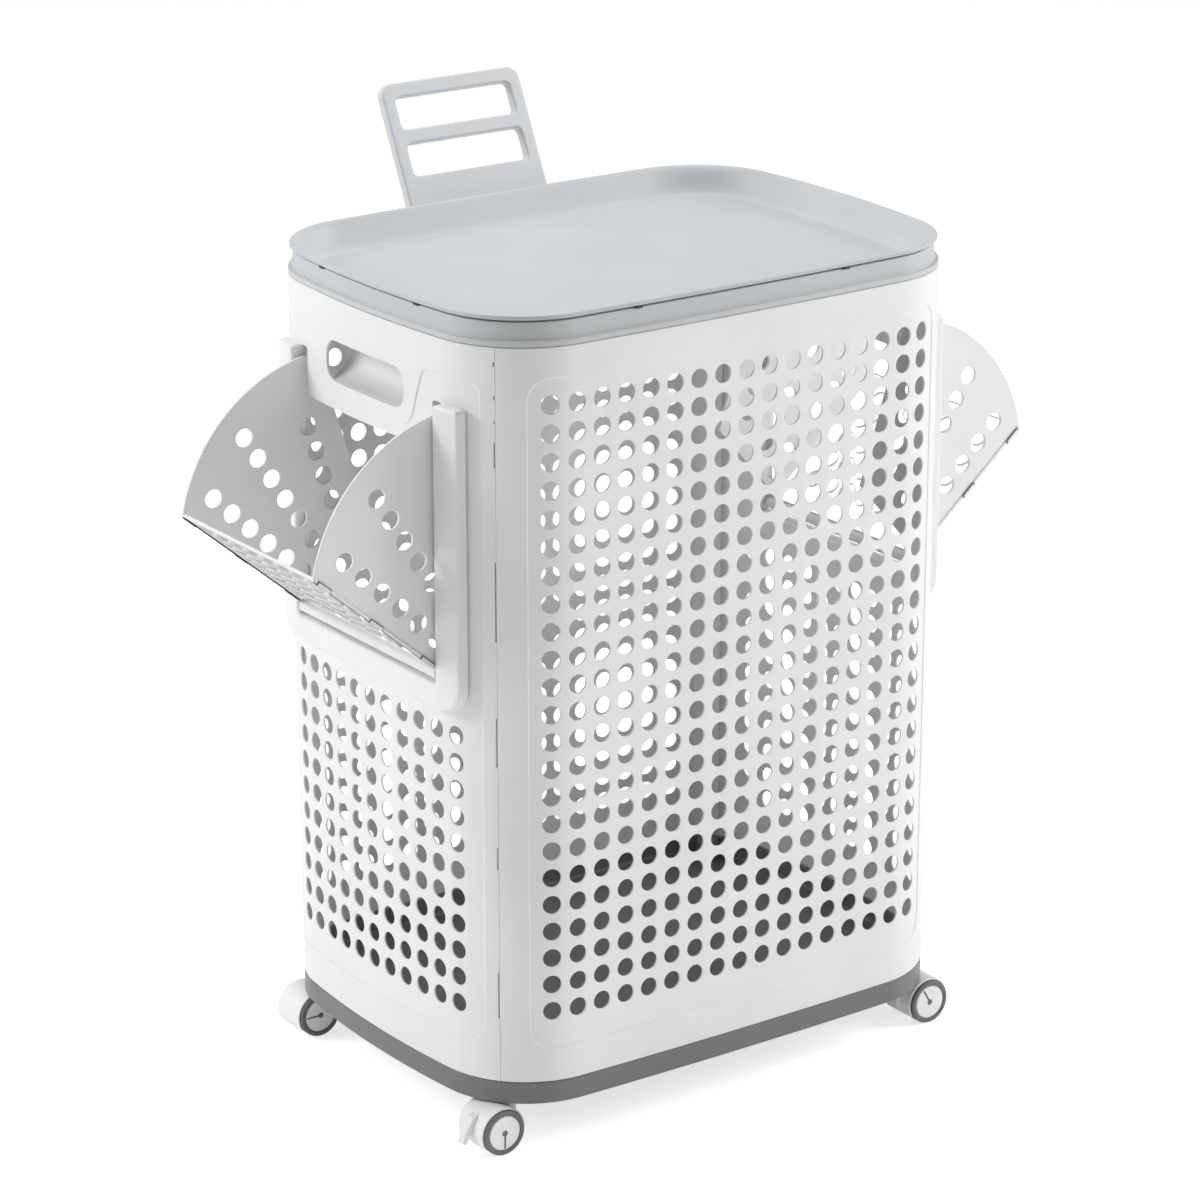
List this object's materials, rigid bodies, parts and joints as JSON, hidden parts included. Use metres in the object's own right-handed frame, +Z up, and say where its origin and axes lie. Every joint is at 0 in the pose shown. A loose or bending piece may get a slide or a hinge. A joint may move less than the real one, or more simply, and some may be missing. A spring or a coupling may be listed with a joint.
{
  "type": "laundry hamper",
  "caption": "Tall perforated plastic laundry hamper on casters with a lift-off tray lid, a tilting chute in each side and a fold-down rear handle.",
  "frame": {"origin": "on the floor under the middle of the whole envelope, chutes open and handle up", "axes": "+Z up, +X to the hamper's right seen from the front, +Y to the back"},
  "size_m": [0.7438, 0.4492, 0.8226],
  "materials": {
    "panel_white": "satin moulded polypropylene",
    "chute_white": "satin moulded polypropylene",
    "base_grey": "fine textured polypropylene",
    "collar_grey": "satin moulded polypropylene",
    "tray_grey": "fine textured polypropylene",
    "handle_grey": "satin moulded polypropylene",
    "steel": "zinc plated",
    "tyre_grey": "matte",
    "caster_white": "satin"
  },
  "bodies": {
    "hamper_body": {"front_panel": "panel_white", "back_panel": "panel_white", "left_panel": "panel_white", "right_panel": "panel_white", "corner_joiners": "panel_white", "base_tray": "base_grey", "caster_sockets": "steel", "top_collar": "collar_grey", "handle_bracket": "handle_grey", "handle_pin": "steel", "left_hinge_rod": "steel", "right_hinge_rod": "steel"},
    "tray": {"tray_lid": "tray_grey"},
    "left_chute": {"left_chute_flap": "chute_white", "left_side_plate_front": "chute_white", "left_side_plate_back": "chute_white"},
    "right_chute": {"right_chute_flap": "chute_white", "right_side_plate_front": "chute_white", "right_side_plate_back": "chute_white"},
    "handle": {"handle_plate": "handle_grey"},
    "caster_front_left_swivel": {"caster_front_left_stem": "steel", "caster_front_left_hood": "caster_white", "caster_front_left_axle": "steel"},
    "caster_front_left_wheel_a": {"caster_front_left_tyre_a": "tyre_grey", "caster_front_left_hub_a": "caster_white"},
    "caster_front_left_wheel_b": {"caster_front_left_tyre_b": "tyre_grey", "caster_front_left_hub_b": "caster_white"},
    "caster_front_left_brake": {"caster_front_left_brake_lever": "caster_white"},
    "caster_front_right_swivel": {"caster_front_right_stem": "steel", "caster_front_right_hood": "caster_white", "caster_front_right_axle": "steel"},
    "caster_front_right_wheel_a": {"caster_front_right_tyre_a": "tyre_grey", "caster_front_right_hub_a": "caster_white"},
    "caster_front_right_wheel_b": {"caster_front_right_tyre_b": "tyre_grey", "caster_front_right_hub_b": "caster_white"},
    "caster_back_left_swivel": {"caster_back_left_stem": "steel", "caster_back_left_hood": "caster_white", "caster_back_left_axle": "steel"},
    "caster_back_left_wheel_a": {"caster_back_left_tyre_a": "tyre_grey", "caster_back_left_hub_a": "caster_white"},
    "caster_back_left_wheel_b": {"caster_back_left_tyre_b": "tyre_grey", "caster_back_left_hub_b": "caster_white"},
    "caster_back_right_swivel": {"caster_back_right_stem": "steel", "caster_back_right_hood": "caster_white", "caster_back_right_axle": "steel"},
    "caster_back_right_wheel_a": {"caster_back_right_tyre_a": "tyre_grey", "caster_back_right_hub_a": "caster_white"},
    "caster_back_right_wheel_b": {"caster_back_right_tyre_b": "tyre_grey", "caster_back_right_hub_b": "caster_white"},
    "caster_back_right_brake": {"caster_back_right_brake_lever": "caster_white"}
  },
  "joints": [
    {"name": "tray_lift", "type": "slide", "parent": "hamper_body", "child": "tray", "axis": [0, 0, 1], "range_m": [0, 0.12]},
    {"name": "left_chute_tilt", "type": "hinge", "parent": "hamper_body", "child": "left_chute", "pos_m": [-0.2515, -0.03662, 0.418], "axis": [0, 1, 0], "range_deg": [0, 49.5]},
    {"name": "right_chute_tilt", "type": "hinge", "parent": "hamper_body", "child": "right_chute", "pos_m": [0.2515, -0.03662, 0.418], "axis": [0, -1, 0], "range_deg": [0, 49.5]},
    {"name": "handle_fold", "type": "hinge", "parent": "hamper_body", "child": "handle", "pos_m": [0, 0.16138, 0.7], "axis": [-1, 0, 0], "range_deg": [0, 150]},
    {"name": "caster_front_left_turn", "type": "hinge", "parent": "hamper_body", "child": "caster_front_left_swivel", "pos_m": [-0.214, -0.18312, 0.043], "axis": [0, 0, 1], "continuous": true},
    {"name": "caster_front_left_roll_a", "type": "hinge", "parent": "caster_front_left_swivel", "child": "caster_front_left_wheel_a", "pos_m": [-0.231, -0.18312, 0.02], "axis": [0, 1, 0], "continuous": true},
    {"name": "caster_front_left_roll_b", "type": "hinge", "parent": "caster_front_left_swivel", "child": "caster_front_left_wheel_b", "pos_m": [-0.231, -0.18312, 0.02], "axis": [0, 1, 0], "continuous": true},
    {"name": "caster_front_left_brake_press", "type": "hinge", "parent": "caster_front_left_swivel", "child": "caster_front_left_brake", "pos_m": [-0.245, -0.18312, 0.033], "axis": [0, -1, 0], "range_deg": [0, 12]},
    {"name": "caster_front_right_turn", "type": "hinge", "parent": "hamper_body", "child": "caster_front_right_swivel", "pos_m": [0.214, -0.18312, 0.043], "axis": [0, 0, 1], "continuous": true},
    {"name": "caster_front_right_roll_a", "type": "hinge", "parent": "caster_front_right_swivel", "child": "caster_front_right_wheel_a", "pos_m": [0.231, -0.18312, 0.02], "axis": [0, 1, 0], "continuous": true},
    {"name": "caster_front_right_roll_b", "type": "hinge", "parent": "caster_front_right_swivel", "child": "caster_front_right_wheel_b", "pos_m": [0.231, -0.18312, 0.02], "axis": [0, 1, 0], "continuous": true},
    {"name": "caster_back_left_turn", "type": "hinge", "parent": "hamper_body", "child": "caster_back_left_swivel", "pos_m": [-0.214, 0.10988, 0.043], "axis": [0, 0, 1], "continuous": true},
    {"name": "caster_back_left_roll_a", "type": "hinge", "parent": "caster_back_left_swivel", "child": "caster_back_left_wheel_a", "pos_m": [-0.231, 0.10988, 0.02], "axis": [0, 1, 0], "continuous": true},
    {"name": "caster_back_left_roll_b", "type": "hinge", "parent": "caster_back_left_swivel", "child": "caster_back_left_wheel_b", "pos_m": [-0.231, 0.10988, 0.02], "axis": [0, 1, 0], "continuous": true},
    {"name": "caster_back_right_turn", "type": "hinge", "parent": "hamper_body", "child": "caster_back_right_swivel", "pos_m": [0.214, 0.10988, 0.043], "axis": [0, 0, 1], "continuous": true},
    {"name": "caster_back_right_roll_a", "type": "hinge", "parent": "caster_back_right_swivel", "child": "caster_back_right_wheel_a", "pos_m": [0.231, 0.10988, 0.02], "axis": [0, 1, 0], "continuous": true},
    {"name": "caster_back_right_roll_b", "type": "hinge", "parent": "caster_back_right_swivel", "child": "caster_back_right_wheel_b", "pos_m": [0.231, 0.10988, 0.02], "axis": [0, 1, 0], "continuous": true},
    {"name": "caster_back_right_brake_press", "type": "hinge", "parent": "caster_back_right_swivel", "child": "caster_back_right_brake", "pos_m": [0.245, 0.10988, 0.033], "axis": [0, 1, 0], "range_deg": [0, 12]}
  ]
}
